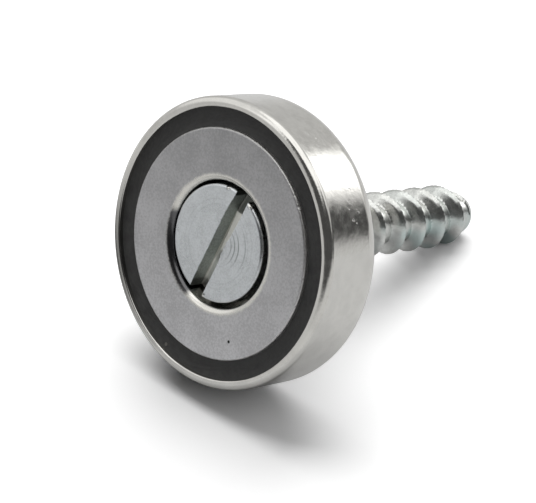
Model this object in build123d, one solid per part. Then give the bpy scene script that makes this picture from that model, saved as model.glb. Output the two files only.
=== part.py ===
from build123d import *
import os

# Pot magnet with a slotted wood screw, in millimetres.
#
# A ring magnet sits in a thin steel cup and is bonded in with black resin.  A screw
# with a slotted cheese head passes through the ring and the cup, so that the magnet
# can be driven into wood like any other screw.
#
# Frame: the axis of the screw is Y.  The origin is the centre of the cup's back,
# which bears on the wood.  +Y points along the screw into the wood, -Y is the side
# that holds, and +Z is up.

# ---------------------------------------------------------------- driving dimensions
# Cup
cup_diameter = 25.0
cup_height = 7.0
cup_wall = 0.9
cup_base = 2.0
rim_rounding = 0.6
rim_inner_rounding = 0.12
back_rounding = 1.9
screw_hole_diameter = 6.4
screw_hole_chamfer = 0.3

# Ring magnet
magnet_diameter = 19.8
magnet_bore = 10.9
magnet_recess = 0.05
magnet_edge_rounding = 0.2
magnet_bore_rounding = 0.5

# Black resin between the magnet and the cup
resin_recess = 0.45
resin_dish = 0.08

# Head, slot and neck of the screw
head_diameter = 10.2
head_recess = 0.3
head_rounding = 0.25
slot_width = 1.6
slot_depth = 1.6
slot_turn = 14.3
neck_diameter = 4.4
neck_length = 1.6
neck_fillet = 0.3

# Thread of the screw.  The phase is the place of a crest on the +X side.
core_diameter = 3.9
thread_diameter = 6.0
thread_pitch = 3.0
thread_crest = 0.3
thread_root = 1.6
thread_phase = 0.5
run_in_length = 1.5
taper_length = 3.3
tip_diameter = 3.3
tip_rounding = 0.5
screw_reach = 27.5

# ---------------------------------------------------------------- places along the axis
rim_y = -cup_height
cup_floor_y = -cup_base
magnet_face_y = rim_y + magnet_recess
resin_top_y = rim_y + resin_recess
head_top_y = rim_y + head_recess
taper_start_y = screw_reach - taper_length

# ---------------------------------------------------------------- radii
cup_radius = cup_diameter / 2
bore_radius = cup_radius - cup_wall
screw_hole_radius = screw_hole_diameter / 2
magnet_radius = magnet_diameter / 2
magnet_bore_radius = magnet_bore / 2
head_radius = head_diameter / 2
neck_radius = neck_diameter / 2
core_radius = core_diameter / 2
crest_radius = thread_diameter / 2
tip_radius = tip_diameter / 2

# Cutters and uncut stock reach this far past the surface that they finish.
spare = 4.0


def corner(profile, x, y):
    """The corner of a flat profile that lies nearest to (x, y)."""
    return profile.vertices().sort_by_distance((x, y, 0))[0]


def half_profile(points):
    """Flat half section, in the XY plane, from (radius, axial place) corners."""
    return make_face(Polyline(*points, close=True))


def turned(profile):
    """Solid of revolution of a half profile about the screw's axis."""
    return revolve(profile, Axis.Y, 360)


def make_cup():
    """Steel cup: a thin wall with a rounded rim, and a base with the screw's hole."""
    section = half_profile([
        (screw_hole_radius, 0),
        (cup_radius, 0),
        (cup_radius, rim_y),
        (bore_radius, rim_y),
        (bore_radius, cup_floor_y),
        (screw_hole_radius, cup_floor_y),
    ])
    section = fillet(corner(section, cup_radius, 0), back_rounding)
    section = fillet(corner(section, cup_radius, rim_y), rim_rounding)
    section = fillet(corner(section, bore_radius, rim_y), rim_inner_rounding)
    section = chamfer(corner(section, screw_hole_radius, 0), screw_hole_chamfer)
    return turned(section)


def make_magnet():
    """Ring magnet, with a small rounding at its rim and a larger one at its bore."""
    section = half_profile([
        (magnet_bore_radius, cup_floor_y),
        (magnet_radius, cup_floor_y),
        (magnet_radius, magnet_face_y),
        (magnet_bore_radius, magnet_face_y),
    ])
    section = fillet(corner(section, magnet_radius, magnet_face_y), magnet_edge_rounding)
    section = fillet(corner(section, magnet_bore_radius, magnet_face_y), magnet_bore_rounding)
    return turned(section)


def make_resin():
    """Resin ring that fills the gap round the magnet, its top dished as it set."""
    middle_radius = (magnet_radius + bore_radius) / 2
    sides = Polyline(
        (magnet_radius, resin_top_y),
        (magnet_radius, cup_floor_y),
        (bore_radius, cup_floor_y),
        (bore_radius, resin_top_y),
    )
    dish = ThreePointArc(
        (bore_radius, resin_top_y),
        (middle_radius, resin_top_y + resin_dish),
        (magnet_radius, resin_top_y),
    )
    return turned(make_face([*sides.edges(), *dish.edges()]))


def make_head():
    """Cheese head with its neck.  The end of the neck is hidden inside the thread."""
    neck_end_y = neck_length - neck_radius + core_radius
    section = half_profile([
        (0, head_top_y),
        (head_radius, head_top_y),
        (head_radius, cup_floor_y),
        (neck_radius, cup_floor_y),
        (neck_radius, neck_end_y),
        (tip_radius, neck_length + neck_radius - tip_radius),
        (0, neck_length + neck_radius - tip_radius),
    ])
    section = fillet(corner(section, head_radius, head_top_y), head_rounding)
    section = fillet(corner(section, neck_radius, cup_floor_y), neck_fillet)
    return turned(section)


def make_ridge():
    """Thread ridge: a trapezium carried round a right-hand helix, made about Z.

    The section reaches a little into the core, its flanks carried on down, so that
    the ridge and the core share no surface.
    """
    root_radius = core_radius - 0.35
    flank_slope = (thread_root - thread_crest) / 2 / (crest_radius - core_radius)
    root_half = thread_crest / 2 + flank_slope * (crest_radius - root_radius)
    turns = int(screw_reach / thread_pitch) + 2
    path = Helix(thread_pitch, turns * thread_pitch, crest_radius)
    section = make_face(Plane.XZ * Polyline(
        (root_radius, -root_half),
        (crest_radius, -thread_crest / 2),
        (crest_radius, thread_crest / 2),
        (root_radius, root_half),
        close=True,
    ))
    return Pos(0, 0, thread_phase) * sweep(section, path=path, is_frenet=True)


def make_run_in():
    """Cutter that ends the thread in a cone behind the neck."""
    outer_radius = crest_radius + spare
    run_in_slope = run_in_length / (crest_radius - neck_radius)
    return turned(half_profile([
        (0, neck_length - neck_radius - spare),
        (0, neck_length / 2),
        (neck_radius, neck_length / 2),
        (neck_radius, neck_length),
        (outer_radius, neck_length + run_in_slope * (outer_radius - neck_radius)),
        (outer_radius, neck_length - neck_radius - spare),
    ]))


def make_taper():
    """Cutter that tapers the crest to the tip and leaves the tip blunt and rounded."""
    outer_radius = crest_radius + spare
    taper_slope = taper_length / (crest_radius - tip_radius)
    far_y = screw_reach + 3 * spare
    section = half_profile([
        (outer_radius, taper_start_y - taper_slope * spare),
        (tip_radius, screw_reach),
        (0, screw_reach),
        (0, far_y),
        (outer_radius, far_y),
    ])
    section = fillet(corner(section, tip_radius, screw_reach), tip_rounding)
    return turned(section)


def make_threaded_end():
    """Core and thread, made too long at both ends and then cut to shape."""
    stock_length = screw_reach + 4 * spare
    core = Cylinder(core_radius, stock_length)
    core = Pos(0, 0, screw_reach / 2 + spare / 2) * core
    rod = Rot(-90, 0, 0) * (core + make_ridge())
    return rod - make_taper() - make_run_in()


def make_slot():
    """Saw cut straight across the head."""
    cut = Box(slot_width, 2 * slot_depth, head_diameter + spare)
    return Pos(0, head_top_y, 0) * Rot(0, slot_turn, 0) * cut


def make_screw():
    """One-piece screw: head and neck, threaded end, then the slot cut."""
    return make_head() + make_threaded_end() - make_slot()


def main():
    os.makedirs("parts", exist_ok=True)
    pieces = {
        "cup": make_cup(),
        "ring_magnet": make_magnet(),
        "resin_ring": make_resin(),
        "slotted_screw": make_screw(),
    }
    for name, piece in pieces.items():
        export_step(piece, f"parts/{name}.step")
        print(name, "volume", round(piece.volume, 2), "solids", len(piece.solids()))


main()
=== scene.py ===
"""Dresses the pot magnet: plated cup, ground ring magnet, black resin and zinc screw.

Every length in the classes is in millimetres, and MM turns it into metres.  Frame: the
screw's axis is Y, the origin is the centre of the cup's back, +Y points into the wood,
-Y is the side that holds, and +Z is up.  An angle round the axis, called turn, is
counted from +Z towards +X.
"""
import logging
import math
from dataclasses import dataclass, field
from enum import Enum

import bmesh
import bpy
import numpy as np
from mathutils import Matrix, Vector


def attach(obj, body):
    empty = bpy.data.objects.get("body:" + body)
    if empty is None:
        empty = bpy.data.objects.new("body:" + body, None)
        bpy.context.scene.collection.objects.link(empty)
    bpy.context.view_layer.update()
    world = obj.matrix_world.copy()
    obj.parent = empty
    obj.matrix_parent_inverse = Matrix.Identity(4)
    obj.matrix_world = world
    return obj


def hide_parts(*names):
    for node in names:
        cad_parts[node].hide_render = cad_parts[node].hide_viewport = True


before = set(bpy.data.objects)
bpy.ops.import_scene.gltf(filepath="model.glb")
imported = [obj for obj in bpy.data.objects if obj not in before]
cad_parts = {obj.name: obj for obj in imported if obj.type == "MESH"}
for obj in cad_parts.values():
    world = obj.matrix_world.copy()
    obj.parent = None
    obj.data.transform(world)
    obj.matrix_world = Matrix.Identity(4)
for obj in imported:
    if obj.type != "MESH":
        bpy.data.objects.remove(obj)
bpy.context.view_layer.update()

log = logging.getLogger("pot_magnet")
MM = 0.001
FULL_TURN = 2.0 * math.pi
RIPPLE_WAVES = 40

Colour = tuple[float, float, float]
Place = tuple[float, float, float]
Spots = tuple[tuple[float, float, float], ...]
Pair = tuple[float, float]
Socket = bpy.types.NodeSocket
Inputs = dict[str | int, object]


# ---------------------------------------------------------------- surfaces

@dataclass
class Patch:
    """A grid of points, (rows, columns, 3) in millimetres.

    Args:
        points: The grid.
        ring: True where the last column joins the first.
        flipped: True where rows crossed with columns point inwards.
    """

    points: np.ndarray
    ring: bool = False
    flipped: bool = False

    def quads(self, first: int) -> np.ndarray:
        """Corner numbers of the grid's quads.

        Args:
            first: Number of the grid's first point in the whole mesh.

        Returns:
            Array of (quads, 4) point numbers.
        """
        rows, columns = self.points.shape[:2]
        across = columns if self.ring else columns - 1
        i, j = np.meshgrid(np.arange(rows - 1), np.arange(across), indexing="ij")
        k = (j + 1) % columns
        this, following = i * columns, (i + 1) * columns
        quads = np.stack([this + j, following + j, following + k, this + k], -1).reshape(-1, 4) + first
        return quads[:, ::-1] if self.flipped else quads


def skin(name: str, patches: list[Patch], sharp_deg: float = 50.0) -> bpy.types.Object:
    """One smooth-shaded mesh object from several grids, joined where they meet.

    Args:
        name: Name of the object and its mesh.
        patches: The grids, in millimetres.
        sharp_deg: Edges that turn by more than this stay sharp.

    Returns:
        The object, linked to the scene, at the origin.
    """
    firsts = np.cumsum([0] + [p.points.shape[0] * p.points.shape[1] for p in patches[:-1]])
    points = np.concatenate([p.points.reshape(-1, 3) for p in patches]) * MM
    quads = np.concatenate([p.quads(int(first)) for p, first in zip(patches, firsts)])
    mesh = bpy.data.meshes.new(name)
    mesh.from_pydata(points, [], quads)
    mesh = welded(mesh)
    mesh.polygons.foreach_set("use_smooth", np.ones(len(mesh.polygons), bool))
    mesh.set_sharp_from_angle(angle=math.radians(sharp_deg))
    made = bpy.data.objects.new(name, mesh)
    bpy.context.scene.collection.objects.link(made)
    return made


def welded(mesh: bpy.types.Mesh, reach_mm: float = 0.0015) -> bpy.types.Mesh:
    """The mesh with its doubled points merged, so that seams and poles are closed.

    Args:
        mesh: Mesh to weld in place.
        reach_mm: Points nearer than this become one.

    Returns:
        The same mesh.
    """
    work = bmesh.new()
    work.from_mesh(mesh)
    bmesh.ops.remove_doubles(work, verts=work.verts, dist=reach_mm * MM)
    bmesh.ops.dissolve_degenerate(work, edges=work.edges, dist=reach_mm * MM * 0.5)
    work.to_mesh(mesh)
    work.free()
    return mesh


def rounded(corners: list[Place], steps: int = 10, support: float = 0.05) -> np.ndarray:
    """Closed outline with an arc at each corner.

    At a corner with inner angle 2h an arc of radius r leaves the two sides at r / tan(h)
    from the corner, and its points turn evenly about a centre r / sin(h) along the
    bisector.  A support point stands on each side just before its arc, which keeps the
    shading of the straight run flat.

    Args:
        corners: (radius from the axis, place along the axis, rounding) of each corner.
        steps: Points on each arc.
        support: Distance of the support points from the arc.

    Returns:
        Array of (points, 2): radius from the axis and place along the axis.
    """
    table = np.array(corners)
    at, r = table[:, :2], table[:, 2:3]
    back, on = np.roll(at, 1, 0) - at, np.roll(at, -1, 0) - at
    back_length = np.linalg.norm(back, axis=1, keepdims=True)
    on_length = np.linalg.norm(on, axis=1, keepdims=True)
    back, on = back / back_length, on / on_length
    half = np.arccos(np.clip((back * on).sum(1, keepdims=True), -1, 1)) / 2
    middle = at + (back + on) / np.linalg.norm(back + on, axis=1, keepdims=True) * r / np.sin(half)
    reach = r / np.tan(half)
    start, end = at + back * reach, at + on * reach
    sweep = np.pi - 2 * half
    t = (np.linspace(0, 1, steps)[None, :] * sweep)[..., None]
    whole = sweep[..., None]
    arc = np.sin(whole - t) * (start - middle)[:, None] + np.sin(t) * (end - middle)[:, None]
    arc = middle[:, None] + arc / np.sin(whole)
    before = start + back * np.minimum(support, (back_length - reach) / 3)
    after = end + on * np.minimum(support, (on_length - reach) / 3)
    return np.concatenate([before[:, None], arc, after[:, None]], 1).reshape(-1, 2)


def turned(outline: np.ndarray, count: int) -> np.ndarray:
    """Outline carried round the Y axis: point = (r sin turn, y, r cos turn).

    Args:
        outline: (points, 2) of radius and place along the axis.
        count: Columns round the axis.

    Returns:
        Grid of (points, count, 3).
    """
    turn = np.linspace(0, FULL_TURN, count, endpoint=False)
    r, y = outline[:, 0:1], outline[:, 1:2]
    return np.stack([r * np.sin(turn), np.broadcast_to(y, (len(outline), count)), r * np.cos(turn)], -1)


def swell(points: np.ndarray, outwards: np.ndarray) -> np.ndarray:
    """Grid of a turned surface with its radius grown.

    Args:
        points: Grid of (rows, columns, 3).
        outwards: (rows, columns) growth in radius, in millimetres.

    Returns:
        The new grid: x and z scaled by (r + growth) / r, y kept.
    """
    r = np.maximum(np.hypot(points[..., 0], points[..., 2]), 1e-6)
    k = (r + outwards) / r
    return points * np.stack([k, np.ones_like(k), k], -1)


def ripple(place: np.ndarray, seed: int, waves: tuple[int, int], rough: float) -> np.ndarray:
    """Even, repeatable unevenness along a closed run.

    A sum of RIPPLE_WAVES sines of whole wave counts, each with its own start, whose
    heights fall with the wave count to the power rough.

    Args:
        place: Places on the run, 0 to 1.
        seed: Start of the random numbers.
        waves: Least and greatest wave count.
        rough: Power with which finer waves get lower.

    Returns:
        Heights with a spread of about 1, shaped like place.
    """
    rng = np.random.default_rng(seed)
    count = rng.integers(waves[0], waves[1] + 1, RIPPLE_WAVES).astype(float)
    shift = rng.uniform(0, FULL_TURN, RIPPLE_WAVES)
    height = count ** -rough
    total = (np.sin(place[..., None] * FULL_TURN * count + shift) * height).sum(-1)
    return total / np.sqrt((height ** 2).sum() / 2)


def lumps(place: np.ndarray, spots: Spots) -> np.ndarray:
    """Sum of smooth single lumps, exp(-((place - middle) / half width)^2) times height.

    Args:
        place: Places.
        spots: (middle, half width, height) of each lump.

    Returns:
        Heights, shaped like place.
    """
    middle, width, height = np.array(spots).T
    return (np.exp(-((place[..., None] - middle) / width) ** 2) * height).sum(-1)


def moved(points: np.ndarray, share: np.ndarray, shift: Pair) -> np.ndarray:
    """Grid moved off the axis: x and z grow by share times shift.

    Args:
        points: Grid of (rows, columns, 3).
        share: How much of the shift each point takes, 0 to 1.
        shift: Shift in x and z.

    Returns:
        The new grid.
    """
    return points + share[..., None] * np.array([shift[0], 0.0, shift[1]])


def smooth_step(x: np.ndarray) -> np.ndarray:
    """0 below 0, 1 above 1 and 3x^2 - 2x^3 between."""
    x = np.clip(x, 0, 1)
    return x * x * (3 - 2 * x)


# ---------------------------------------------------------------- finishes

class Web:
    """A material's or the world's node tree, with short calls to grow it."""

    def __init__(self, tree: bpy.types.NodeTree) -> None:
        """Clears the tree.

        Args:
            tree: Tree to work in.
        """
        self.tree = tree
        tree.nodes.clear()

    def add(self, kind: str, inputs: Inputs | None = None, **settings: object) -> bpy.types.Node:
        """Adds a node.

        Args:
            kind: Node type without its ShaderNode prefix.
            inputs: Socket name or number to a value or to another node's output.
            settings: Node properties.

        Returns:
            The node.
        """
        node = self.tree.nodes.new("ShaderNode" + kind)
        for key, value in settings.items():
            setattr(node, key, value)
        self.feed(node, inputs or {})
        return node

    def feed(self, node: bpy.types.Node, inputs: Inputs) -> None:
        """Fills a node's sockets.

        Args:
            node: Node to fill.
            inputs: Socket name or number to a value or to another node's output.
        """
        for key, value in inputs.items():
            if isinstance(value, Socket):
                self.tree.links.new(value, node.inputs[key])
            else:
                node.inputs[key].default_value = value

    def math(self, operation: str, *values: object, clamp: bool = False) -> Socket:
        """Output of a Math node on numbers or outputs."""
        node = self.add("Math", dict(enumerate(values)), operation=operation, use_clamp=clamp)
        return node.outputs[0]

    def plus(self, a: object, b: object, clamp: bool = False) -> Socket:
        """Sum of two numbers or outputs."""
        return self.math("ADD", a, b, clamp=clamp)

    def minus(self, a: object, b: object, clamp: bool = False) -> Socket:
        """What is left of a number or output without another."""
        return self.math("SUBTRACT", a, b, clamp=clamp)

    def times(self, a: object, b: object) -> Socket:
        """Product of two numbers or outputs."""
        return self.math("MULTIPLY", a, b)

    def millimetres(self, squash: Place = (1, 1, 1)) -> Socket:
        """Place on the piece in millimetres.

        Args:
            squash: Scale of each axis.

        Returns:
            The place.
        """
        place = self.add("TexCoord").outputs["Object"]
        scale = tuple(s / MM for s in squash)
        return self.add("Mapping", {"Vector": place, "Scale": scale}).outputs["Vector"]

    def span(self, value: object, low: float, high: float, to_low: float = 0.0, to_high: float = 1.0,
             smooth: bool = True) -> Socket:
        """Value mapped from low..high to to_low..to_high, held at both ends.

        Args:
            value: Value to map.
            low: Value at which to_low is reached; it may be the greater one.
            high: Value at which to_high is reached.
            to_low: Result at low.
            to_high: Result at high.
            smooth: True for a smooth step, False for a straight line.

        Returns:
            The result.
        """
        kind = "SMOOTHSTEP" if smooth else "LINEAR"
        inputs = {0: value, 1: low, 2: high, 3: to_low, 4: to_high}
        return self.add("MapRange", inputs, interpolation_type=kind, clamp=True).outputs[0]

    def noise(self, vector: object, scale: float, detail: float = 2.0, rough: float = 0.5) -> Socket:
        """Noise, 0 to 1, with scale in cells a millimetre."""
        inputs = {"Vector": vector, "Scale": scale, "Detail": detail, "Roughness": rough}
        return self.add("TexNoise", inputs).outputs["Fac"]

    def blend(self, amount: object, a: object, b: object) -> Socket:
        """Colour between a and b, each an output or its red, green and blue."""
        a, b = ((*c, 1) if isinstance(c, tuple) else c for c in (a, b))
        return self.add("Mix", {0: amount, 6: a, 7: b}, data_type="RGBA").outputs[2]

    def bump(self, height: object, depth_mm: float, strength: float, under: object = None) -> Socket:
        """Normal for a height map.

        Args:
            height: The height map.
            depth_mm: Height of its 1, in millimetres; below 0 it goes inwards.
            strength: Share of the bend that is kept.
            under: Normal that the bumps are laid on.

        Returns:
            The normal.
        """
        inputs = {"Height": height, "Strength": strength, "Distance": depth_mm * MM}
        if under is not None:
            inputs["Normal"] = under
        return self.add("Bump", inputs).outputs["Normal"]

    def radius(self, place: object) -> Socket:
        """Distance from the screw's axis of a place."""
        flat = self.add("VectorMath", {0: place, 1: (1, 0, 1)}, operation="MULTIPLY").outputs[0]
        return self.add("VectorMath", {0: flat}, operation="LENGTH").outputs["Value"]

    def along(self, place: object, direction: Place) -> Socket:
        """How far a place lies along a direction of unit length."""
        return self.add("VectorMath", {0: place, 1: direction}, operation="DOT_PRODUCT").outputs["Value"]

    def clean_gleam(self, path: object) -> Socket:
        """1 for a ray that only mirrors have sent on, 0 once a matt face has.

        Args:
            path: Outputs of a Light Path node.

        Returns:
            The share.
        """
        return self.minus(path["Is Glossy Ray"], path["Diffuse Depth"], clamp=True)

    def near(self, place: object, spot: Place, reach: float) -> Socket:
        """1 at a spot, falling smoothly to 0 at reach from it."""
        gap = self.add("VectorMath", {0: place, 1: spot}, operation="DISTANCE").outputs["Value"]
        return self.span(gap, 0.0, reach, 1.0, 0.0)


def on_side(turn_deg: float, y: float, radius: float = 12.5) -> Place:
    """Place on the cup's side from its turn and its place along the axis."""
    turn = math.radians(turn_deg)
    return (radius * math.sin(turn), y, radius * math.cos(turn))


@dataclass(frozen=True)
class Finish:
    """What every finish has: a name and its plain colour and gloss."""

    name: str
    colour: Colour
    roughness: float

    def start(self) -> tuple[bpy.types.Material, Web, bpy.types.Node]:
        """Starts the material.

        Returns:
            The new material, its web and its shader, already joined up.
        """
        material = bpy.data.materials.new(self.name)
        material.use_nodes = True
        web = Web(material.node_tree)
        shader = web.add("BsdfPrincipled", {"Base Color": (*self.colour, 1), "Roughness": self.roughness})
        web.add("OutputMaterial", {"Surface": shader.outputs[0]})
        return material, web, shader

    @staticmethod
    def shades(web: Web, level: object, colour: Colour, low: float, high: float,
               reach: Pair = (0.36, 0.64)) -> Socket:
        """Colour times low to high, as a noise level goes through its reach.

        Args:
            web: The material's node tree.
            level: The noise.
            colour: The plain colour.
            low: What the colour is multiplied by at the reach's low end.
            high: The same at its high end.
            reach: Levels between which the colour changes.

        Returns:
            The colour.
        """
        dark, light = (tuple(c * k for c in colour) for k in (low, high))
        return web.blend(web.span(level, *reach), dark, light)


@dataclass(frozen=True)
class NickelPlate(Finish):
    """Bright nickel over steel: slow waves, dents, fine grain, pits, and a bit of rim with painted dark
    reflection.
    """

    wave_mm: float = 0.030
    dent_mm: float = 0.010
    grain_mm: float = 0.0022
    pit_mm: float = 0.035
    haze: Pair = (0.90, 1.0)
    # Painted dark reflection on a stretch of the rim: span along the axis, strength, colour, middle and
    # reach.
    rim_painted_reflection_span: Pair = (-6.5, -6.2)
    rim_painted_reflection_strength: float = 0.75
    rim_painted_reflection_colour: Colour = (0.13, 0.13, 0.125)
    rim_painted_reflection_spot: Place = (-11.2, -6.9, -5.4)
    rim_painted_reflection_reach: float = 9.0
    pits: Spots = (
        (44.0, -4.3, 0.26), (52.5, -3.7, 0.24), (53.3, -3.3, 0.20), (55.0, -3.9, 0.18),
        (56.6, -2.9, 0.26), (59.5, -3.6, 0.24), (60.4, -3.2, 0.22), (48.0, -3.2, 0.16),
        (22.0, -4.6, 0.30), (25.5, -4.0, 0.26), (28.5, -4.4, 0.24),
    )

    def material(self) -> bpy.types.Material:
        """Builds the material.

        Returns:
            The material.
        """
        material, web, shader = self.start()
        place = web.millimetres()
        stretched = web.millimetres((1.0, 0.35, 1.0))
        haze = web.noise(place, scale=0.55, detail=5.0, rough=0.7)
        shade = self.shades(web, haze, self.colour, *self.haze, (0.35, 0.65))
        # Painted dark reflection: the lower left of the rim is blended towards a dark colour.
        axial = web.add("SeparateXYZ", {0: place}).outputs["Y"]
        on_rim = web.span(axial, *self.rim_painted_reflection_span, self.rim_painted_reflection_strength, 0.0)
        painted_dark_reflection = web.times(web.near(place, self.rim_painted_reflection_spot, self.rim_painted_reflection_reach), on_rim)
        shade = web.blend(painted_dark_reflection, shade, self.rim_painted_reflection_colour)
        cloud = web.noise(place, scale=1.1, detail=4.0, rough=0.6)
        gloss = web.span(cloud, 0.3, 0.75, self.roughness - 0.03, self.roughness + 0.06)
        slow = web.noise(stretched, scale=0.30, detail=1.0, rough=0.4)
        normal = web.bump(slow, self.wave_mm, strength=0.5)
        dents = web.noise(place, scale=1.6, detail=3.0, rough=0.6)
        normal = web.bump(dents, self.dent_mm, strength=0.9, under=normal)
        fine = web.noise(place, scale=9.0, detail=3.0, rough=0.6)
        normal = web.bump(fine, self.grain_mm, strength=0.6, under=normal)
        height: object = 0.0
        torn = web.noise(place, scale=7.0, detail=2.0, rough=0.6)
        torn = web.span(torn, 0.53, 0.62)
        for turn, y, reach in self.pits:
            height = web.plus(height, web.near(place, on_side(turn, y), reach))
        height = web.times(height, torn)
        normal = web.bump(height, -self.pit_mm, strength=1.0, under=normal)
        web.feed(shader, {"Base Color": shade, "Roughness": gloss, "Metallic": 1.0, "Normal": normal})
        return material


@dataclass(frozen=True)
class GroundMagnet(Finish):
    """Ring ground on its face: satin, bright at lip and edge, one pore; a stretch of the lip has painted
    dark reflection, and the face a painted reflection that darkens towards the top.
    """

    pore: Place = (3.9, -6.95, -7.3)
    bright_colour: Colour = (0.74, 0.73, 0.69)
    bright_roughness: float = 0.22
    lip_radius: float = 6.0
    edge_radius: float = 9.80
    bore_shift: Place = (0.15, 0.0, 0.03)
    # Painted dark reflection on a stretch of the lip.
    lip_painted_reflection_spot: Place = (-4.75, -6.85, -2.75)
    lip_painted_reflection_reach: float = 4.9
    lip_painted_reflection_colour: Colour = (0.13, 0.13, 0.135)
    mottle: Pair = (0.86, 1.13)
    # Painted reflection: brightness factor at the bottom and at the top of the face.
    painted_reflection_gradient: Pair = (1.25, 0.76)
    ragged_mm: float = 0.36
    edge_strength: float = 0.35
    grain_mm: float = 0.006
    pore_reach: float = 0.26
    pore_colour: Colour = (0.02, 0.02, 0.02)

    def material(self) -> bpy.types.Material:
        """Builds the material.

        Returns:
            The material.
        """
        material, web, shader = self.start()
        place = web.millimetres()
        grain = web.noise(place, scale=5.0, detail=4.0, rough=0.65)
        cloud = web.noise(place, scale=0.35, detail=3.0, rough=0.5)
        level = web.plus(web.times(grain, 0.7), web.times(cloud, 0.3))
        up = web.add("SeparateXYZ", {0: place}).outputs["Z"]
        mottled = web.span(level, 0.38, 0.62, *self.mottle)
        # Random mottle times a painted reflection, brighter towards the bottom and darker towards the
        # top.
        uneven = web.times(mottled, web.span(up, -10.0, 10.0, *self.painted_reflection_gradient, smooth=False))
        shade = web.add("VectorMath", {0: self.colour, "Scale": uneven}, operation="SCALE").outputs[0]
        ragged = web.noise(place, scale=3.0, detail=3.0, rough=0.6)
        ragged = web.times(web.minus(ragged, 0.5), self.ragged_mm)
        bore = web.add("VectorMath", {0: place, 1: self.bore_shift}, operation="SUBTRACT").outputs[0]
        from_lip = web.plus(web.minus(web.radius(bore), self.lip_radius), ragged)
        torn = web.times(ragged, 0.4)
        from_edge = web.plus(web.minus(self.edge_radius, web.radius(place)), torn)
        lip = web.span(from_lip, -0.15, 0.17, 1.0, 0.0)
        edge = web.times(web.span(from_edge, -0.06, 0.08, 1.0, 0.0), self.edge_strength)
        bright = web.math("MAXIMUM", lip, edge)
        shade = web.blend(bright, shade, self.bright_colour)
        # Painted dark reflection on a stretch of the lip.
        painted_dark_reflection = web.span(web.near(place, self.lip_painted_reflection_spot, self.lip_painted_reflection_reach), 0.04, 0.20)
        shade = web.blend(web.times(painted_dark_reflection, lip), shade, self.lip_painted_reflection_colour)
        pore = web.span(web.near(place, self.pore, self.pore_reach), 0.25, 0.65)
        shade = web.blend(pore, shade, self.pore_colour)
        gloss = web.span(grain, 0.3, 0.7, self.roughness - 0.04, self.roughness + 0.06)
        gloss = web.plus(gloss, web.times(lip, self.bright_roughness - self.roughness))
        normal = web.bump(web.noise(place, scale=8.0, detail=3.0, rough=0.7), self.grain_mm, strength=0.7)
        web.feed(shader, {"Base Color": shade, "Roughness": gloss, "Metallic": 1.0, "Normal": normal})
        return material


@dataclass(frozen=True)
class CastResin(Finish):
    """Black resin, set matt, with dust, small hollows and one pale speck."""

    speck: Place = (-3.2, -6.55, -10.8)
    speck_reach: float = 0.30
    speck_colour: Colour = (0.35, 0.34, 0.31)
    dust_colour: Colour = (0.16, 0.16, 0.155)
    dust_strength: float = 0.25
    hollow_mm: float = 0.05
    grain_mm: float = 0.008

    def material(self) -> bpy.types.Material:
        """Builds the material.

        Returns:
            The material.
        """
        material, web, shader = self.start()
        place = web.millimetres()
        cloud = web.noise(place, scale=0.8, detail=4.0, rough=0.6)
        dust = web.noise(place, scale=7.0, detail=2.0, rough=0.6)
        dust = web.span(dust, 0.60, 0.78)
        shade = self.shades(web, cloud, self.colour, 0.75, 1.3, (0.3, 0.7))
        shade = web.blend(web.times(dust, self.dust_strength), shade, self.dust_colour)
        speck = web.span(web.near(place, self.speck, self.speck_reach), 0.3, 0.6)
        shade = web.blend(speck, shade, self.speck_colour)
        gloss = web.span(cloud, 0.3, 0.7, self.roughness - 0.06, self.roughness + 0.08)
        hollows = web.noise(place, scale=1.6, detail=3.0, rough=0.55)
        normal = web.bump(hollows, self.hollow_mm, strength=0.5)
        grain = web.noise(place, scale=9.0, detail=2.0, rough=0.6)
        normal = web.bump(grain, self.grain_mm, strength=0.6, under=normal)
        web.feed(shader, {"Base Color": shade, "Roughness": gloss, "Normal": normal})
        return material


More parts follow.
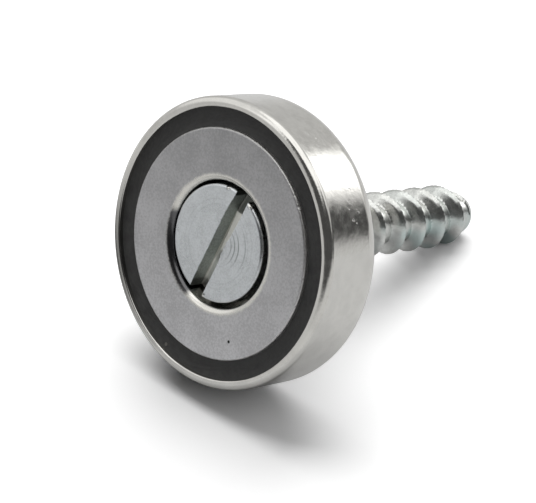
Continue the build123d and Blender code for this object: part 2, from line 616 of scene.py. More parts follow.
@dataclass(frozen=True)
class ZincPlate(Finish):
    """Thin bluish zinc over turned steel, with tool marks, burrs with painted highlights, and a sawn slot
    with painted light on its floor and painted shade at its ends.
    """

    shank_colour: Colour = (0.66, 0.67, 0.65)
    tint_colour: Colour = (0.54, 0.63, 0.615)
    slot_colour: Colour = (0.49, 0.53, 0.515)
    # Painted light: a pale colour on the slot's floor.
    slot_floor_painted_light: Colour = (0.90, 0.89, 0.84)
    # Painted shade at the slot's ends.
    slot_painted_shade_colour: Colour = (0.05, 0.055, 0.05)
    ring_colour: Colour = (0.22, 0.24, 0.245)
    # Painted highlight on burrs.
    painted_highlight_colour: Colour = (0.97, 0.97, 0.94)
    head_top: float = -6.7
    slot_turn_deg: float = 14.3
    slot_shift: float = 0.115
    slot_half: float = 0.80
    slot_depth: float = 1.6
    arcs: tuple[float, ...] = (1.52, 1.92, 2.36, 3.13)
    arc_middle: Place = (2.2, -6.7, 0.35)
    arc_reach: float = 2.4
    arc_half_width: float = 0.11
    arc_waver: float = 0.12
    faint_rings: float = 0.14
    rings_strength: float = 0.8
    rings_mm: float = 0.012
    burr_bump_mm: float = 0.10
    grain_mm: float = 0.006
    tint_from: Pair = (3.0, 9.0)
    # Painted shade at the slot's ends: ragged edge, places along the slot and strengths.
    slot_painted_shade_ragged: float = 0.3
    slot_painted_shade_floor: Pair = (2.68, 2.80)
    slot_painted_shade_floor_strength: float = 0.80
    slot_painted_shade_upper: Pair = (4.45, 4.70)
    slot_painted_shade_lower: Pair = (-4.45, -4.15)
    slot_painted_shade_lower_strength: float = 0.45
    # Burrs: each a bump and a painted highlight, given by middle and reach.
    burr_highlight_spots: tuple[tuple[Place, float], ...] = (
        ((2.40, -6.68, 4.42), 0.42), ((-0.38, -6.68, -4.85), 0.36), ((0.30, -6.7, -0.85), 0.24),
        ((0.42, -6.7, -0.45), 0.20), ((-0.35, -6.66, 4.98), 0.30),
    )

    def material(self) -> bpy.types.Material:
        """Builds the material.

        Returns:
            The material.
        """
        material, web, shader = self.start()
        place = web.millimetres()
        parts = web.add("SeparateXYZ", {0: place}).outputs
        axial = parts["Y"]
        cloud = web.noise(place, scale=0.8, detail=4.0, rough=0.6)
        grain = web.noise(place, scale=5.5, detail=4.0, rough=0.65)
        level = web.plus(web.times(cloud, 0.5), web.times(grain, 0.5))
        head = self.shades(web, level, self.colour, 0.84, 1.10)
        shank = self.shades(web, level, self.shank_colour, 0.85, 1.10)
        patchy = web.noise(place, scale=0.28, detail=2.0, rough=0.5)
        patchy = web.span(patchy, 0.42, 0.62)
        tint = web.times(patchy, web.span(axial, *self.tint_from))
        tint = web.times(tint, web.span(parts["Z"], -0.5, 2.0, 1.0, 0.15))
        shank = web.blend(tint, shank, self.tint_colour)
        shade = web.blend(web.span(axial, -2.5, 0.5), head, shank)
        on_top = web.span(axial, self.head_top + 0.01, self.head_top + 0.06, 1.0, 0.0)
        rings = web.times(self.ring_lines(web, place), on_top)
        shade = web.blend(web.times(rings, self.rings_strength), shade, self.ring_colour)
        sawn = self.in_slot(web, place, axial)
        # Sawn metal on the slot's walls, and painted light on its floor.
        sawn_metal_and_painted_light = self.shades(web, grain, self.slot_colour, 0.85, 1.15)
        floor = self.head_top + self.slot_depth
        deep = web.span(axial, floor - 0.22, floor - 0.10)
        sawn_metal_and_painted_light = web.blend(deep, sawn_metal_and_painted_light, self.slot_floor_painted_light)
        shade = web.blend(sawn, shade, sawn_metal_and_painted_light)
        # Painted shade at the slot's ends.
        slot_painted_shade = web.times(self.slot_painted_shade(web, place, deep), sawn)
        shade = web.blend(slot_painted_shade, shade, self.slot_painted_shade_colour)
        # Burrs: bump and painted highlight colour.
        burr_and_painted_highlight: object = 0.0
        for spot, reach in self.burr_highlight_spots:
            burr_and_painted_highlight = web.plus(burr_and_painted_highlight, web.near(place, spot, reach))
        shade = web.blend(web.span(burr_and_painted_highlight, 0.25, 0.5), shade, self.painted_highlight_colour)
        gloss = web.span(cloud, 0.3, 0.7, self.roughness - 0.04, self.roughness + 0.05)
        gloss = web.plus(gloss, web.times(sawn, 0.15))
        gloss = web.minus(gloss, web.span(axial, -1.0, 2.0, 0.0, 0.08))
        normal = web.bump(burr_and_painted_highlight, self.burr_bump_mm, strength=1.0)
        normal = web.bump(rings, -self.rings_mm, strength=0.6, under=normal)
        normal = web.bump(grain, self.grain_mm, strength=0.6, under=normal)
        web.feed(shader, {"Base Color": shade, "Roughness": gloss, "Metallic": 1.0, "Normal": normal})
        return material

    def ring_lines(self, web: Web, place: object) -> Socket:
        """Tool marks on the head: clear arcs beside the slot, faint rings elsewhere.

        Args:
            web: The material's node tree.
            place: Place in millimetres.

        Returns:
            1 in a mark, 0 beside it.
        """
        radius = web.radius(place)
        waver = web.times(web.noise(place, scale=0.6, detail=2.0, rough=0.5), self.arc_waver)
        wide = web.plus(radius, web.minus(waver, self.arc_waver / 2))
        lines: object = 0.0
        for arc in self.arcs:
            gap = web.math("ABSOLUTE", web.minus(wide, arc))
            lines = web.math("MAXIMUM", lines, web.span(gap, 0.0, self.arc_half_width, 1.0, 0.0))
        lines = web.times(lines, web.near(place, self.arc_middle, self.arc_reach))
        inputs = {"W": radius, "Scale": 4.0, "Detail": 2.0, "Roughness": 0.6}
        faint = web.add("TexNoise", inputs, noise_dimensions="1D")
        faint = web.span(faint.outputs["Fac"], 0.5, 0.75)
        return web.plus(lines, web.times(faint, self.faint_rings), clamp=True)

    def slot_painted_shade(self, web: Web, place: object, deep: object) -> Socket:
        """Painted shade at the slot's ends: on the upper one's floor first, on walls at the very end.

        Args:
            web: The material's node tree.
            place: Place in millimetres.
            deep: 1 on the slot's floor, 0 above it.

        Returns:
            1 in full painted shade, 0 where there is none.
        """
        turn = math.radians(self.slot_turn_deg)
        ragged = web.noise(place, scale=4.0, detail=3.0, rough=0.6)
        ragged = web.times(web.minus(ragged, 0.5), self.slot_painted_shade_ragged)
        along = web.plus(web.along(place, (math.sin(turn), 0.0, math.cos(turn))), ragged)
        on_floor = web.times(web.span(along, *self.slot_painted_shade_floor, 0.0, self.slot_painted_shade_floor_strength), deep)
        lower = web.span(along, *self.slot_painted_shade_lower, self.slot_painted_shade_lower_strength, 0.0)
        ends = web.math("MAXIMUM", web.span(along, *self.slot_painted_shade_upper), lower)
        return web.math("MAXIMUM", on_floor, ends)

    def in_slot(self, web: Web, place: object, axial: object) -> Socket:
        """Where the metal was sawn.

        Args:
            web: The material's node tree.
            place: Place in millimetres.
            axial: Its part along the axis.

        Returns:
            1 inside the slot, 0 elsewhere.
        """
        turn = math.radians(self.slot_turn_deg)
        across = web.along(place, (math.cos(turn), 0.0, -math.sin(turn)))
        beside = web.math("ABSOLUTE", web.minus(across, self.slot_shift))
        between = web.span(beside, self.slot_half + 0.10, self.slot_half + 0.14, 1.0, 0.0)
        below = web.span(axial, self.head_top + 0.05, self.head_top + 0.12)
        floor = self.head_top + self.slot_depth
        above = web.span(axial, floor + 0.3, floor + 0.4, 1.0, 0.0)
        return web.times(between, web.times(below, above))


# ---------------------------------------------------------------- the four pieces

@dataclass
class Cup:
    """Plated steel cup: thin wall, rounded rim and back, and a hole for the screw."""

    finish: NickelPlate
    radius: float = 12.5
    height: float = 7.0
    bore_radius: float = 11.6
    base: float = 2.0
    hole_radius: float = 3.2
    rim_rounding: float = 0.6
    rim_inner_rounding: float = 0.12
    back_rounding: float = 1.9
    hole_chamfer: float = 0.3
    floor_rounding: float = 0.15
    hole_rounding: float = 0.05
    chamfer_rounding: float = 0.03
    rim_waver: float = 0.007
    columns: int = 720

    def outline(self) -> np.ndarray:
        """Closed half section.

        Returns:
            Points of radius and place along the axis.
        """
        return rounded([
            (self.hole_radius, -self.hole_chamfer, self.chamfer_rounding),
            (self.hole_radius + self.hole_chamfer, 0.0, self.chamfer_rounding),
            (self.radius, 0.0, self.back_rounding),
            (self.radius, -self.height, self.rim_rounding),
            (self.bore_radius, -self.height, self.rim_inner_rounding),
            (self.bore_radius, -self.base, self.floor_rounding),
            (self.hole_radius, -self.base, self.hole_rounding),
        ], steps=14)

    def build(self) -> bpy.types.Object:
        """Turns the section and gives the inner rim a slight, slow unevenness.

        Returns:
            The cup, in place of its node.
        """
        outline = self.outline()
        closed = np.concatenate([outline, outline[:1]])
        points = turned(closed, self.columns)
        turn = np.linspace(0, 1, self.columns, endpoint=False)
        near_rim = smooth_step((-closed[:, 1] - self.height + 0.5) / 0.4)
        inner = smooth_step((self.bore_radius + 0.30 - closed[:, 0]) / 0.25) * near_rim
        uneven = ripple(turn, seed=4, waves=(2, 24), rough=0.6)[None, :]
        points = swell(points, inner[:, None] * self.rim_waver * uneven)
        cup = skin("plated_cup", [Patch(points, ring=True)])
        return finished(cup, self.finish, "cup")


@dataclass
class RingMagnet:
    """Ground ring magnet with a chipped outer edge and a bore slightly off its middle."""

    finish: GroundMagnet
    radius: float = 9.9
    bore_radius: float = 5.45
    face: float = -6.95
    floor: float = -2.0
    edge_rounding: float = 0.2
    bore_rounding: float = 0.5
    bore_shift: Pair = (0.15, 0.03)
    rigid_rim: float = 0.3
    chip_depth: float = 0.035
    chip_from: float = 0.7
    chip_most: float = 1.5
    chipped_all_round: float = 0.5
    chipped: Spots = ((95.0, 40.0, 0.7), (35.0, 30.0, 0.4))
    columns: int = 720

    def build(self) -> bpy.types.Object:
        """Turns the section, chips the outer edge and moves the bore off the axis.

        Returns:
            The magnet, in place of its node.
        """
        outline = rounded([
            (self.bore_radius, self.floor, 0.05),
            (self.radius, self.floor, 0.05),
            (self.radius, self.face, self.edge_rounding),
            (self.bore_radius, self.face, self.bore_rounding),
        ], steps=12)
        closed = np.concatenate([outline, outline[:1]])
        points = turned(closed, self.columns)
        turn = np.linspace(0, 1, self.columns, endpoint=False)
        chips = ripple(turn, seed=11, waves=(9, 340), rough=0.15)
        chips = np.clip(chips - self.chip_from, 0, self.chip_most)
        where = self.chipped_all_round + lumps(turn * 360, self.chipped)
        edge = smooth_step((closed[:, 0] - self.radius + self.edge_rounding * 1.1) / 0.2)
        edge = edge * smooth_step((self.face + self.edge_rounding * 1.6 - closed[:, 1]) / 0.2)
        points = swell(points, -edge[:, None] * (chips * where)[None, :] * self.chip_depth)
        moves_from = self.radius - self.rigid_rim
        inward = np.clip((moves_from - closed[:, 0]) / (moves_from - self.bore_radius), 0, 1)
        points = moved(points, inward[:, None], self.bore_shift)
        magnet = skin("ground_magnet", [Patch(points, ring=True)])
        return finished(magnet, self.finish, "ring_magnet")


@dataclass
class ResinRing:
    """Black resin between magnet and cup, its top dished and a little lumpy."""

    finish: CastResin
    inner_radius: float = 9.9
    outer_radius: float = 11.6
    top: float = -6.55
    floor: float = -2.0
    dish: float = 0.08
    sunk: float = 0.02
    lumps_height: float = 0.018
    below_top: float = 0.3
    columns: int = 512
    across: int = 24

    def build(self) -> bpy.types.Object:
        """Turns a dished section: depth = dish times 1 - (2s - 1)^2 across the ring.

        Returns:
            The resin, in place of its node.
        """
        s = np.linspace(0, 1, self.across)
        r = self.outer_radius + (self.inner_radius - self.outer_radius) * s
        y = self.top + self.dish * (1 - (2 * s - 1) ** 2)
        top = np.stack([r, y], -1)
        outline = np.concatenate([
            top,
            [[self.inner_radius, self.top + self.below_top], [self.inner_radius, self.floor],
             [self.outer_radius, self.floor], [self.outer_radius, self.top + self.below_top]],
            top[:1],
        ])
        points = turned(outline, self.columns)
        turn = np.linspace(0, 1, self.columns, endpoint=False)
        walls = np.zeros(len(outline) - len(top))
        inland = np.concatenate([np.sin(np.pi * s), walls])[:, None]
        across = np.concatenate([s, walls])[:, None]
        broad = ripple(turn, seed=21, waves=(4, 30), rough=0.6)[None, :]
        fine = ripple(turn[None, :] + across * 0.13, seed=22, waves=(10, 60), rough=0.4)
        points[..., 1] += inland * (self.sunk + self.lumps_height * (broad * 0.5 + fine * 0.5))
        resin = skin("cast_resin", [Patch(points, ring=True)], sharp_deg=40)
        return finished(resin, self.finish, "resin_ring")


class Side(Enum):
    """Side of the slot, by the sign of its X before the screw is turned."""

    PLUS = 1
    MINUS = -1


@dataclass(frozen=True)
class SlotWall:
    """What the saw and the driver left on one wall of the slot.

    Args:
        side: Side of the slot.
        offset: How much farther out it stands than half the slot's width.
        flare: (change, start, length) of the stretch where it drifts out, or in below 0.
        marks: (middle, half width, depth) of bites out of its mouth, below 0 where metal
            is pushed into the slot.
        burrs: (middle, half width, height) of the metal turned up along its edge.
    """

    side: Side
    offset: float
    flare: Place
    marks: Spots
    burrs: Spots


PLUS_WALL = SlotWall(
    Side.PLUS,
    offset=0.0,
    flare=(0.07, 1.2, 2.5),
    marks=((0.75, 0.32, -0.12), (0.15, 0.30, -0.13), (-0.45, 0.22, -0.15), (-0.9, 0.18, -0.05)),
    burrs=(
        (0.55, 0.12, 0.03), (0.15, 0.10, 0.05), (-0.30, 0.12, 0.05),
        (-0.62, 0.12, 0.08), (-0.95, 0.10, 0.04),
    ),
)
MINUS_WALL = SlotWall(
    Side.MINUS,
    offset=-0.015,
    flare=(-0.17, 3.0, 2.2),
    marks=((2.1, 0.10, 0.05), (-3.1, 0.12, 0.06)),
    burrs=((3.9, 0.25, 0.02), (2.1, 0.10, 0.03), (-2.9, 0.15, 0.03)),
)


@dataclass
class SlottedScrew:
    """Turned screw: slotted cheese head, neck, coarse right-hand thread, blunt tip.

    The head above the slot's floor is two lands, each a grid from the slot's middle line
    up its wall, over the face and down the side.  All below is one grid round the axis
    whose columns stand on the lands' last points, so that the skin is closed.
    """

    finish: ZincPlate

    # Head and slot.
    head_radius: float = 5.1
    head_top: float = -6.7
    head_under: float = -2.0
    head_rounding: float = 0.25
    head_shift: Pair = (-0.10, 0.02)
    slot_width: float = 1.6
    slot_depth: float = 1.6
    slot_turn_deg: float = 14.3
    slot_shift: float = 0.115
    slot_root: float = 0.12

    # What the saw left.  Places run along the slot, + towards its upper end.
    walls: tuple[SlotWall, SlotWall] = (PLUS_WALL, MINUS_WALL)
    worn: float = 0.045
    mouth_depth: float = 0.35
    ragged: float = 0.010
    burr_width: float = 0.035
    slot_lean: float = 0.34
    slot_fall: float = 0.05
    crooked_from: float = 2.76
    crooked_start: float = 0.05
    crooked_to: float = -2.3
    crooked_end: float = 1.2
    end_margin: float = 0.12
    end_fade: float = 0.25

    # Neck, thread and tip.
    neck_radius: float = 2.2
    neck_end: float = 1.6
    neck_fillet: float = 0.3
    core_radius: float = 1.95
    crest_radius: float = 3.0
    pitch: float = 3.0
    crest_flat: float = 0.3
    crest_place: float = 0.5
    crest_wear: float = 0.12
    crest_wear_reach: float = 0.12
    root_width: float = 1.6
    run_in: float = 1.5
    taper_start: float = 24.2
    tip_radius: float = 1.65
    tip_rounding: float = 0.5
    reach: float = 27.5

    # Rows and columns of the grids.
    land_columns: int = 91
    floor_rows: tuple[float, ...] = (0.0, 0.35, 0.7, 1.0)
    root_steps: int = 4
    wall_rows: tuple[float, ...] = (1.0, 0.85, 0.6, 0.35, 0.22)
    edge_rows: tuple[float, ...] = (0.0, 0.02, 0.045, 0.08)
    cap_rows: tuple[float, ...] = (0.6, 0.2, 0.0)
    row_step: float = 0.08
    least_gap: float = 2e-4

    def land(self, wall: SlotWall) -> Patch:
        """One half of the head above the slot's floor.

        Rows run from the slot's middle line across the floor, round its root, up the
        wall, over its worn edge, across the face, over the head's rounding and down its
        side.  Columns run along the slot.  On the face a point goes in equal steps from
        the slot's straight edge to the arc of the head.

        Args:
            wall: The land's wall.

        Returns:
            The grid.
        """
        t = (1 - np.cos(np.linspace(0, np.pi, self.land_columns))) / 2
        along = self.head_radius * (1 - 2 * t)
        depths = self.depths()
        inland = smooth_step((self.head_radius - self.end_margin - np.abs(along)) / self.end_fade)
        root = self.slot_root * inland
        foot = self.edge(wall, along, self.slot_depth)
        sunk = self.slot_depth + self.fall(along) * inland
        rows: list[np.ndarray] = []
        for share in self.floor_rows:
            across = share * (foot - root)
            rows.append(self.row(across, sunk + self.lean(along, share) * inland, along, wall.side, 0.0))
        for angle in np.linspace(0, np.pi / 2, self.root_steps + 2)[1:-1]:
            across = foot - root * (1 - np.sin(angle))
            rows.append(self.row(across, sunk - root * (1 - np.cos(angle)), along, wall.side, 0.0))
        for depth in depths:
            squeezed = depth * (sunk - root) / self.slot_depth
            rows.append(self.row(self.edge(wall, along, depth), squeezed, along, wall.side, 0.0))
        burr = lumps(along, wall.burrs)
        for s in np.concatenate([self.edge_rows, np.linspace(0.13, 1, 16)[:-1]]):
            lift = -burr * math.exp(-(s / self.burr_width) ** 2)
            rows.append(self.row(self.edge(wall, along, 0.0), lift, along, wall.side, float(s)))
        for depth in depths[::-1]:
            level = np.full_like(along, depth)
            rows.append(self.row(self.edge(wall, along, depth), level, along, wall.side, 1.0))
        return Patch(self.placed(np.stack(rows)), flipped=wall.side is Side.PLUS)

    def depths(self) -> np.ndarray:
        """Rows that the slot's wall and the head's side share.

        Returns:
            Their depths below the face.
        """
        straight = self.slot_depth * np.array(self.wall_rows)
        bend = np.linspace(np.pi / 2, 0, 11)
        return np.concatenate([straight, self.head_rounding * (1 - np.cos(bend))])

    def edge(self, wall: SlotWall, along: np.ndarray, depth: float) -> np.ndarray:
        """Distance of the slot's wall from its middle line.

        The wall is nearly straight.  Its marks and its unevenness fade with the depth, as
        exp(-(depth / mouth depth)^2), and the last bit below the face is worn round.

        Args:
            wall: The land's wall.
            along: Places along the slot.
            depth: Depth below the face.

        Returns:
            The distances.
        """
        t = (1 - along / self.head_radius) / 2
        half = self.slot_width / 2
        mouth = math.exp(-(depth / self.mouth_depth) ** 2)
        ragged = self.ragged * ripple(t, seed=31 + wall.side.value, waves=(4, 50), rough=0.3) * mouth
        change, start, length = wall.flare
        line = half + wall.offset + change * smooth_step((along - start) / length)
        line = line + lumps(along, wall.marks) * mouth
        lost = max(self.worn - depth, 0.0)
        return line + ragged + self.worn - math.sqrt(self.worn ** 2 - lost ** 2)

    def run(self, along: np.ndarray) -> np.ndarray:
        """1 where the saw ran crooked along the slot: a sharp start, then it dies away."""
        starts = smooth_step((self.crooked_from - along) / self.crooked_start)
        return starts * smooth_step((along - self.crooked_to) / self.crooked_end)

    def fall(self, along: np.ndarray) -> np.ndarray:
        """How far the slot's floor lies below its depth: it falls away from the start."""
        return self.run(along) * self.slot_fall * np.maximum(self.crooked_from - along, 0.0)

    def lean(self, along: np.ndarray, share: float) -> np.ndarray:
        """How far the floor leans: a slope from the middle line, at share 0, to a wall's foot."""
        return self.run(along) * self.slot_lean * (self.slot_width / 2 - self.slot_root) * (1 - share)

    def row(self, across: np.ndarray, depth: np.ndarray, along: np.ndarray, side: Side,
            s: float) -> np.ndarray:
        """One line of points along the slot, in the slot's own frame.

        A point is straight + (arc - straight) times s, where straight runs beside the slot
        and arc runs round the head, both in the same even steps.

        Args:
            across: Distance from the slot's middle line at s = 0.
            depth: Depth below the head's face.
            along: Wanted place along the slot, end to end.
            side: Side of the slot.
            s: 0 on the straight line, 1 on the arc of the face's rim.

        Returns:
            Array of (points, 3): across, place along the axis, along.
        """
        rim = self.rim_radius(depth)
        t = (1 - along / self.head_radius) / 2
        x = across + side.value * self.slot_shift
        top = math.sqrt(rim[0] ** 2 - x[0] ** 2)
        bottom = -math.sqrt(rim[-1] ** 2 - x[-1] ** 2)
        straight = np.stack([x, top + (bottom - top) * t], -1)
        start = math.asin(x[0] / rim[0])
        end = math.pi - math.asin(x[-1] / rim[-1])
        angle = start + (end - start) * t
        arc = np.stack([rim * np.sin(angle), rim * np.cos(angle)], -1)
        flat = straight + (arc - straight) * s
        return np.stack([side.value * flat[:, 0], self.head_top + depth, flat[:, 1]], -1)

    def rim_radius(self, depth: np.ndarray) -> np.ndarray:
        """Radius of the head at a depth: a quarter circle, its rounding, and then its side."""
        fall = np.clip(self.head_rounding - depth, 0, self.head_rounding)
        return self.head_radius - self.head_rounding + np.sqrt(self.head_rounding ** 2 - fall ** 2)

    def placed(self, grid: np.ndarray) -> np.ndarray:
        """Grid turned about the axis from the slot's own frame.

        Args:
            grid: Grid of (rows, columns, 3): across, place along the axis, along.

        Returns:
            Grid of x, y and z.
        """
        turn = math.radians(self.slot_turn_deg)
        x, y, z = grid[..., 0], grid[..., 1], grid[..., 2]
        new_x = x * math.cos(turn) + z * math.sin(turn)
        new_z = z * math.cos(turn) - x * math.sin(turn)
        return np.stack([new_x, y, new_z], -1)

    def stem(self, lands: list[Patch]) -> Patch:
        """Everything below the slot's floor: head, neck, thread and tip.

        Above the neck the radius is the head's section.  Behind it, it is the core's, raised
        by a trapezium with worn corners and held under the run-in and taper cones.

        Args:
            lands: The two lands, whose last points give the columns their turns.

        Returns:
            The grid.
        """
        floor = self.head_top + self.slot_depth
        below = len(self.floor_rows) + self.root_steps
        edges = [(p.points[-1], p.points[:below, 0], p.points[:below, -1]) for p in lands]
        ends = np.concatenate([line for land_edges in edges for line in land_edges])
        turn = np.sort(np.arctan2(ends[:, 0], ends[:, 2]))
        turn = turn[np.concatenate([[True], np.diff(turn) > self.least_gap])]
        sweep = np.linspace(0, np.pi / 2, 7)
        neck = self.neck_radius + self.neck_fillet * (1 - np.sin(sweep))
        upper = np.concatenate([
            [[self.head_radius, floor], [self.head_radius, self.head_under - 0.05],
             [self.head_radius - 0.05, self.head_under], [self.neck_radius + 1.0, self.head_under]],
            np.stack([neck, self.head_under + self.neck_fillet * (1 - np.cos(sweep))], -1),
        ])
        y = np.concatenate([
            np.arange(self.head_under + 0.5, self.reach - self.tip_rounding, self.row_step),
            self.reach - self.tip_rounding * (1 - np.sin(np.linspace(0, np.pi / 2, 9))),
        ])
        r = np.concatenate([
            np.broadcast_to(upper[:, :1], (len(upper), len(turn))),
            self.thread_radius(y[:, None], turn[None, :]),
        ])
        r = np.concatenate([r, r[-1] * np.array(self.cap_rows)[:, None]])
        y = np.concatenate([upper[:, 1], y, [self.reach] * len(self.cap_rows)])[:, None]
        points = np.stack([r * np.sin(turn), np.broadcast_to(y, r.shape), r * np.cos(turn)], -1)
        return Patch(points, ring=True, flipped=True)

    def thread_radius(self, y: np.ndarray, turn: np.ndarray) -> np.ndarray:
        """Radius of the shank at a place along the axis and a turn round it.

        The crest passes +X, a quarter turn on, at crest place.  The gap from it is the pitch
        times the distance of (y - crest place) / pitch - (turn - quarter) / full turn from
        a whole number.  The height is 1 on the crest's flat and falls in a straight line to
        0 down its flank, less a little wear at the corner.

        Args:
            y: Places along the axis.
            turn: Turns round the axis, in radians.

        Returns:
            The radii, one for each pair of y and turn.
        """
        from_crest = (y - self.crest_place) / self.pitch - (turn - np.pi / 2) / FULL_TURN
        gap = np.abs(from_crest - np.round(from_crest)) * self.pitch
        flank = (self.root_width - self.crest_flat) / 2
        height = np.clip(1 - (gap - self.crest_flat / 2) / flank, 0, 1)
        from_corner = (gap - self.crest_flat / 2) / self.crest_wear_reach
        height = height * (1 - self.crest_wear * np.exp(-from_corner ** 2))
        neck_stops = self.neck_end + self.neck_radius - self.core_radius
        core = np.where(y < neck_stops, self.neck_radius, self.core_radius)
        raised = core + (self.crest_radius - core) * height
        rise = self.crest_radius - self.neck_radius
        run_in = self.neck_radius + (y - self.neck_end) * rise / self.run_in
        slope = (self.crest_radius - self.tip_radius) / (self.reach - self.taper_start)
        taper = self.crest_radius - (y - self.taper_start) * slope
        radius = np.minimum(raised, np.maximum(run_in, self.neck_radius))
        radius = np.where(y < self.neck_end, self.neck_radius, radius)
        radius = np.minimum(radius, taper)
        round_from = self.reach - self.tip_rounding
        lost = np.clip(y - round_from, 0, self.tip_rounding)
        return radius - (self.tip_rounding - np.sqrt(np.maximum(self.tip_rounding ** 2 - lost ** 2, 0)))

    def build(self) -> bpy.types.Object:
        """Joins the two lands and the stem into one closed skin.

        Returns:
            The screw, in place of its node.
        """
        lands = [self.land(wall) for wall in self.walls]
        patches = [*lands, self.stem(lands)]
        for patch in patches:
            y = patch.points[..., 1]
            loose = smooth_step((self.neck_end - y) / (self.neck_end - self.head_under))
            patch.points = moved(patch.points, loose, self.head_shift)
        screw = skin("zinc_screw", patches, sharp_deg=38)
        return finished(screw, self.finish, "slotted_screw")


def finished(piece: bpy.types.Object, finish: Finish, node: str) -> bpy.types.Object:
    """Gives a piece its finish and rides it on the one body, in place of its node.

    Args:
        piece: The piece.
        finish: What it is made and coated with.
        node: Node that it replaces.

    Returns:
        The same piece.
    """
    piece.data.materials.append(finish.material())
    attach(piece, "root")
    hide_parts(node)
    return piece


# ---------------------------------------------------------------- the studio

@dataclass(frozen=True)
class Screen:
    """A soft-edged field of the surroundings, in degrees over the floor.

    Args:
        azimuth: Middle, 0 behind the magnet and 90 on its +X side.
        elevation: Middle, above the floor's plane.
        half_width: Half its width.
        half_height: Half its height.
        soft: Width of its soft edge.
        level: Brightness inside it.
    """

    azimuth: float
    elevation: float
    half_width: float
    half_height: float
    soft: float
    level: float


@dataclass(frozen=True)
class Lamp:
    """A wide far lamp, whose rays are parallel.

    Args:
        name: Its name.
        azimuth: Where it stands, in degrees, 0 behind the magnet and 90 on its +X side.
        elevation: Above the floor's plane, in degrees.
        width: Angle over which it spreads, in degrees.
        level: Light that it lays on the open floor.
    """

    name: str
    azimuth: float
    elevation: float
    width: float
    level: float


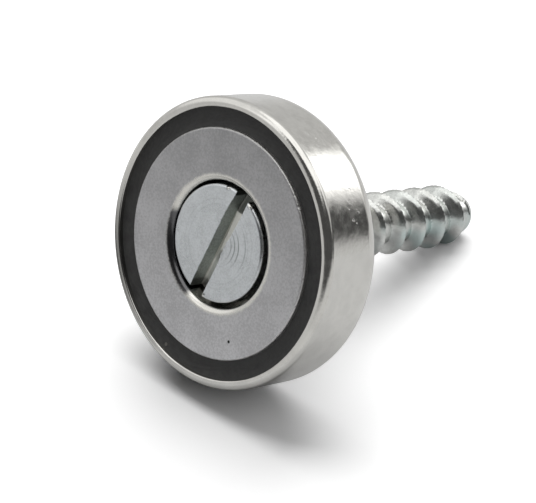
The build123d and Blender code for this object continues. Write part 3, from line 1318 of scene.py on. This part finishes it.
@dataclass
class Studio:
    """Pale floor that the magnet lies on, tilted with it, plain soft light and camera."""

    floor_tilt_deg: float = 20.3
    floor_depth: float = 11.18
    floor_radius: float = 150.0
    floor_centre: Pair = (-80.0, 89.0)
    floor_seen: float = 1.32
    floor_mirrored: float = 0.70
    floor_bounce: float = 0.12
    # Painted shade on the floor, seen only in reflections.
    floor_painted_shade_spot: Place = (-36.0, -20.5, -19.5)
    floor_painted_shade_reach: float = 34.0
    floor_painted_shade_colour: Colour = (0.05, 0.05, 0.05)
    floor_painted_shade_strength: float = 0.8
    floor_columns: int = 96
    floor_rings: int = 8
    room: float = 0.60
    room_rise: Pair = (10.0, 60.0)
    room_rise_gain: float = 1.25
    room_colour: Colour = (1.0, 0.995, 0.985)
    horizon: Pair = (-3.0, 1.0)
    matt_share: float = 0.02
    screens: tuple[Screen, ...] = field(default_factory=lambda: (
        Screen(10.5, 18.5, 10.0, 10.5, 11.0, 2.6),
        Screen(45.0, 45.5, 26.0, 12.5, 8.0, 1.4),
        Screen(-114.0, 32.0, 34.0, 20.0, 12.0, 0.98),
        Screen(-145.0, 42.0, 7.0, 20.0, 6.0, 1.4),
        Screen(0.0, 73.0, 190.0, 15.0, 10.0, 1.45),
        Screen(45.0, 3.0, 20.0, 7.8, 5.0, 0.08),
        Screen(100.5, 28.0, 39.5, 23.0, 7.0, 0.08),
        Screen(172.0, 30.0, 35.5, 29.0, 6.0, 0.08),
    ))
    lamps: tuple[Lamp, ...] = (
        Lamp("overhead_lamp", -47.0, 52.8, 63.4, 0.765),
        Lamp("side_lamp", 74.7, 27.4, 120.0, 0.207),
    )
    camera_place: Place = (102.43, -129.00, 54.39)
    camera_right: Place = (0.7106, 0.6640, 0.2325)
    camera_up: Place = (-0.3853, 0.0908, 0.9183)
    lens_mm: float = 134.33

    def axes(self) -> tuple[np.ndarray, np.ndarray, np.ndarray]:
        """The floor's own axes.

        Returns:
            Right (+X), away (+Y along the floor) and up from the floor, as unit vectors.
        """
        tilt = math.radians(self.floor_tilt_deg)
        right = np.array([1.0, 0.0, 0.0])
        away = np.array([0.0, math.cos(tilt), math.sin(tilt)])
        up = np.array([0.0, -math.sin(tilt), math.cos(tilt)])
        return right, away, up

    def build(self) -> None:
        """Makes the camera, the floor, the lamps and the surroundings."""
        self.make_camera()
        self.make_floor()
        for lamp in self.lamps:
            self.make_lamp(lamp)
        self.make_world()
        view = bpy.context.scene.view_settings
        view.view_transform = "Standard"

    def make_camera(self) -> None:
        """Camera at the place and turn given by its right and up directions."""
        data = bpy.data.cameras.new("camera")
        data.sensor_width = 36.0
        data.lens = self.lens_mm
        data.clip_start = 0.005
        data.clip_end = 10.0
        camera = bpy.data.objects.new("camera", data)
        bpy.context.scene.collection.objects.link(camera)
        right, up = Vector(self.camera_right).normalized(), Vector(self.camera_up).normalized()
        back = right.cross(up).normalized()
        up = back.cross(right)
        turn = Matrix((right, up, back)).transposed().to_4x4()
        camera.matrix_world = Matrix.Translation(Vector(self.camera_place) * MM) @ turn
        bpy.context.scene.camera = camera

    def make_floor(self) -> None:
        """Round pale floor: point = radius times (sin a, cos a) on the floor's axes."""
        right, away, up = self.axes()
        a = np.linspace(0, FULL_TURN, self.floor_columns, endpoint=False)[None, :]
        r = np.linspace(0, self.floor_radius, self.floor_rings)[:, None]
        centre = -self.floor_depth * up + self.floor_centre[0] * right + self.floor_centre[1] * away
        points = centre + (r * np.sin(a))[..., None] * right + (r * np.cos(a))[..., None] * away
        floor = skin("pale_floor", [Patch(points, ring=True, flipped=True)])
        floor.data.materials.append(self.floor_material())

    def floor_material(self) -> bpy.types.Material:
        """Pale and matt; paler to the camera and to gleams, with a patch of painted shade that only
        gleams show, and clear from below.

        Returns:
            The material.
        """
        material = bpy.data.materials.new("pale_card")
        material.use_nodes = True
        web = Web(material.node_tree)
        path = web.add("LightPath").outputs
        greys = (self.floor_bounce, self.floor_mirrored, self.floor_seen)
        bounce, mirrored, seen = ((grey, grey, grey) for grey in greys)
        clean = web.clean_gleam(path)
        # Painted shade on the floor to the front left, seen only in reflections.
        dim = web.near(web.millimetres(), self.floor_painted_shade_spot, self.floor_painted_shade_reach)
        mirrored = web.blend(web.times(dim, self.floor_painted_shade_strength), mirrored, self.floor_painted_shade_colour)
        colour = web.blend(clean, bounce, mirrored)
        colour = web.blend(path["Is Camera Ray"], colour, seen)
        matt = web.add("BsdfDiffuse", {"Color": colour}).outputs[0]
        clear = web.add("BsdfTransparent").outputs[0]
        under = web.times(web.add("NewGeometry").outputs["Backfacing"], path["Is Camera Ray"])
        mixed = web.add("MixShader", {0: under, 1: matt, 2: clear}).outputs[0]
        web.add("OutputMaterial", {"Surface": mixed})
        return material

    def make_lamp(self, lamp: Lamp) -> None:
        """Makes one lamp, seen by matt surfaces only: what gleams mirrors the surroundings.

        Args:
            lamp: Its place and light.
        """
        right, away, up = self.axes()
        az, el = math.radians(lamp.azimuth), math.radians(lamp.elevation)
        to_lamp = math.cos(el) * (math.sin(az) * right + math.cos(az) * away) + math.sin(el) * up
        data = bpy.data.lights.new(lamp.name, "SUN")
        data.angle = math.radians(lamp.width)
        data.energy = lamp.level * math.pi / math.sin(el)
        made = bpy.data.objects.new(lamp.name, data)
        made.visible_glossy = False
        bpy.context.scene.collection.objects.link(made)
        made.rotation_mode = "QUATERNION"
        made.rotation_quaternion = Vector(to_lamp).to_track_quat("Z", "Y")

    def make_world(self) -> None:
        """Surroundings: a grey room, paler overhead, with soft bright and dark fields."""
        world = bpy.data.worlds.new("studio")
        world.use_nodes = True
        bpy.context.scene.world = world
        web = Web(world.node_tree)
        direction = web.add("TexCoord").outputs["Generated"]
        level_out = (-math.radians(self.floor_tilt_deg), 0, 0)
        tilt = web.add("Mapping", {"Vector": direction, "Rotation": level_out}, vector_type="POINT")
        parts = web.add("SeparateXYZ", {0: tilt.outputs[0]}).outputs
        degrees = 180 / math.pi
        elevation = web.times(web.math("ARCSINE", parts["Z"]), degrees)
        azimuth = web.times(web.math("ARCTAN2", parts["X"], parts["Y"]), degrees)
        below = web.span(elevation, *self.horizon, self.floor_mirrored - self.room, 0.0)
        above = web.span(elevation, *self.room_rise, self.room, self.room * self.room_rise_gain)
        level: object = web.plus(below, above)
        for screen in self.screens:
            level = self.with_screen(web, level, screen, azimuth, elevation)
        path = web.add("LightPath").outputs
        clean = web.clean_gleam(path)
        share = web.span(clean, 0.0, 1.0, self.matt_share, 1.0, smooth=False)
        level = web.times(level, share)
        studio = web.add("Background", {"Color": (*self.room_colour, 1), "Strength": level}).outputs[0]
        white = web.add("Background", {"Color": (1, 1, 1, 1), "Strength": 1.0}).outputs[0]
        mixed = web.add("MixShader", {0: path["Is Camera Ray"], 1: studio, 2: white}).outputs[0]
        web.add("OutputWorld", {"Surface": mixed})

    @staticmethod
    def with_screen(web: Web, level: object, screen: Screen, azimuth: object,
                    elevation: object) -> Socket:
        """Level of the surroundings with one more field laid over it.

        Args:
            web: The world's node tree.
            level: Level so far.
            screen: The field.
            azimuth: Azimuth of a direction, in degrees.
            elevation: Its elevation, in degrees.

        Returns:
            The new level.
        """
        turn = web.math("WRAP", web.minus(azimuth, screen.azimuth), 180.0, -180.0)
        beside = web.math("ABSOLUTE", turn)
        above = web.math("ABSOLUTE", web.minus(elevation, screen.elevation))
        blur = screen.soft / 2
        wide = web.span(beside, screen.half_width - blur, screen.half_width + blur, 1.0, 0.0)
        high = web.span(above, screen.half_height - blur, screen.half_height + blur, 1.0, 0.0)
        amount = web.times(wide, high)
        gain = web.times(web.minus(screen.level, level), amount)
        return web.plus(level, gain)


def main() -> None:
    """Builds the pieces in order, then the studio, and reports each."""
    logging.basicConfig(level=logging.INFO, format="%(name)s: %(message)s")
    pieces = (
        Cup(NickelPlate("bright_nickel", (0.72, 0.712, 0.682), 0.15)),
        RingMagnet(GroundMagnet("ground_magnet", (0.519, 0.519, 0.531), 0.42)),
        ResinRing(CastResin("black_resin", (0.095, 0.095, 0.094), 0.55)),
        SlottedScrew(ZincPlate("blue_zinc", (0.67, 0.70, 0.72), 0.30)),
    )
    for piece in pieces:
        made = piece.build()
        log.info("%s: %d points, %d faces", made.name, len(made.data.vertices), len(made.data.polygons))
    Studio().build()


if __name__ == "__main__":
    main()
